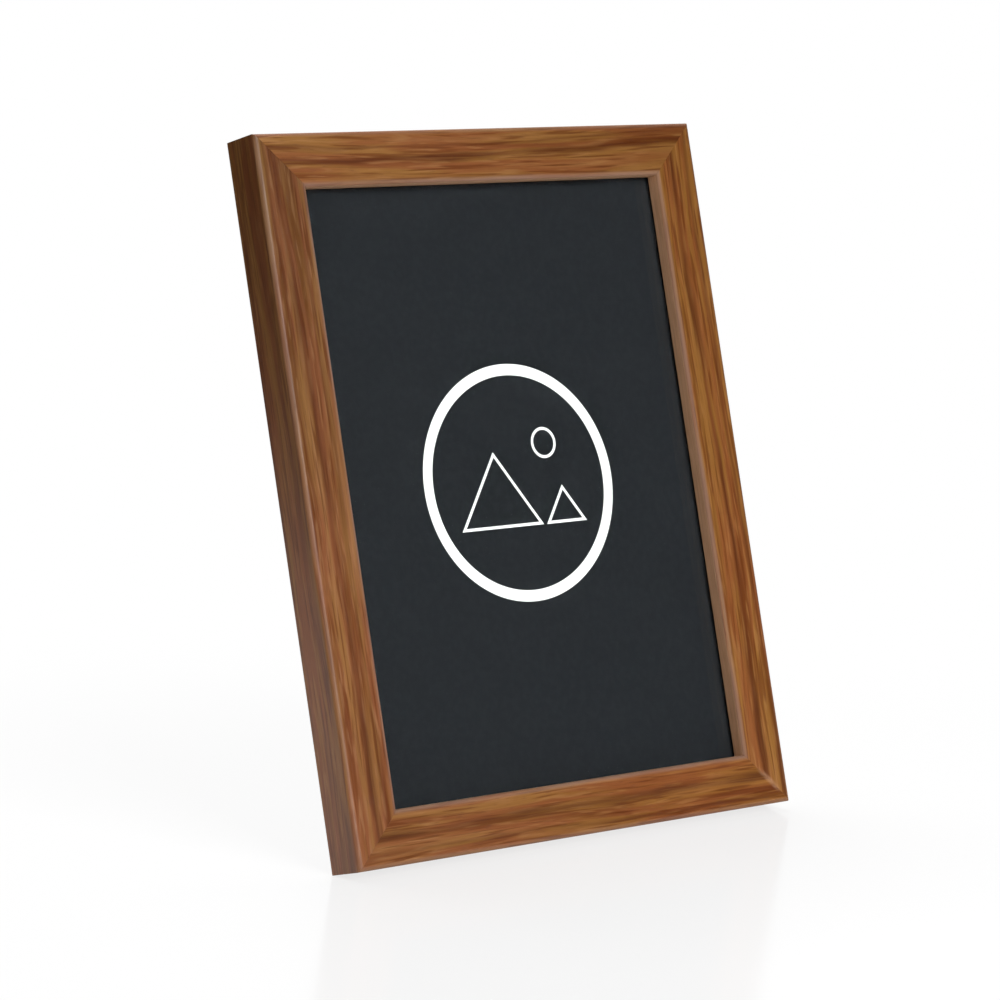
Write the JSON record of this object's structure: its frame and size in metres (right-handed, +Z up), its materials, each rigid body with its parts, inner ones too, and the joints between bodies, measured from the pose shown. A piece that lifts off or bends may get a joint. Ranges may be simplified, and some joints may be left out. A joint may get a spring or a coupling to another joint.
{
  "type": "easel back photo frame",
  "caption": "Upright wooden photo frame with mitred flat moulding, glass, printed insert and a clipped back board, standing on a folding easel strut, with D ring hangers.",
  "frame": {"origin": "centre of the bounding box's bottom face, on the surface that the frame stands on", "axes": "+Z up, -Y towards the viewer of the picture, +X to that viewer's right; the picture leans back about X"},
  "size_m": [0.176, 0.0744, 0.2229],
  "materials": {
    "walnut_moulding": "satin stained, straight grain",
    "clear_glass": "polished float glass",
    "printed_paper": "matt print, white design on charcoal",
    "black_fibreboard": "fibreboard faced with black paper",
    "zinc_steel": "zinc plated pressing",
    "bright_steel": "bright nickel plate"
  },
  "bodies": {
    "frame": {"top_rail": "walnut_moulding", "bottom_rail": "walnut_moulding", "left_stile": "walnut_moulding", "right_stile": "walnut_moulding", "corner_v_nails": "bright_steel", "glass_pane": "clear_glass", "photo_insert": "printed_paper", "back_board": "black_fibreboard", "turn_clip_rivets": "bright_steel", "hinge_board_leaf": "zinc_steel", "hinge_pin": "bright_steel", "hinge_board_rivets": "bright_steel", "hanger_strap_top": "zinc_steel", "hanger_strap_side": "zinc_steel", "hanger_rivets": "bright_steel"},
    "strut": {"easel_strut": "black_fibreboard", "hinge_strut_leaf": "zinc_steel", "hinge_strut_rivets": "bright_steel"},
    "turn_clip_upper_left": {"turn_clip_upper_left": "zinc_steel"},
    "turn_clip_upper_right": {"turn_clip_upper_right": "zinc_steel"},
    "turn_clip_lower_left": {"turn_clip_lower_left": "zinc_steel"},
    "turn_clip_lower_right": {"turn_clip_lower_right": "zinc_steel"},
    "hanger_ring_top": {"hanger_ring_top": "bright_steel"},
    "hanger_ring_side": {"hanger_ring_side": "bright_steel"}
  },
  "joints": [
    {"name": "strut_fold", "type": "hinge", "parent": "frame", "child": "strut", "pos_m": [0, 0.00736, 0.13666], "axis": [-1, 0, 0], "range_deg": [0, 23.2]},
    {"name": "turn_clip_upper_left_turn", "type": "hinge", "parent": "frame", "child": "turn_clip_upper_left", "pos_m": [-0.065, 0.01099, 0.16138], "axis": [0, 0.9728, -0.2317], "continuous": true},
    {"name": "turn_clip_upper_right_turn", "type": "hinge", "parent": "frame", "child": "turn_clip_upper_right", "pos_m": [0.065, 0.01099, 0.16138], "axis": [0, 0.9728, -0.2317], "continuous": true},
    {"name": "turn_clip_lower_left_turn", "type": "hinge", "parent": "frame", "child": "turn_clip_lower_left", "pos_m": [-0.065, -0.01311, 0.06021], "axis": [0, 0.9728, -0.2317], "continuous": true},
    {"name": "turn_clip_lower_right_turn", "type": "hinge", "parent": "frame", "child": "turn_clip_lower_right", "pos_m": [0.065, -0.01311, 0.06021], "axis": [0, 0.9728, -0.2317], "continuous": true},
    {"name": "hanger_ring_top_swing", "type": "hinge", "parent": "frame", "child": "hanger_ring_top", "pos_m": [0, 0.0199, 0.19318], "axis": [1, 0, 0], "range_deg": [-13, 166]},
    {"name": "hanger_ring_side_swing", "type": "hinge", "parent": "frame", "child": "hanger_ring_side", "pos_m": [-0.06, 0.0002, 0.11049], "axis": [0, 0.2317, 0.9728], "range_deg": [0, 180]}
  ]
}
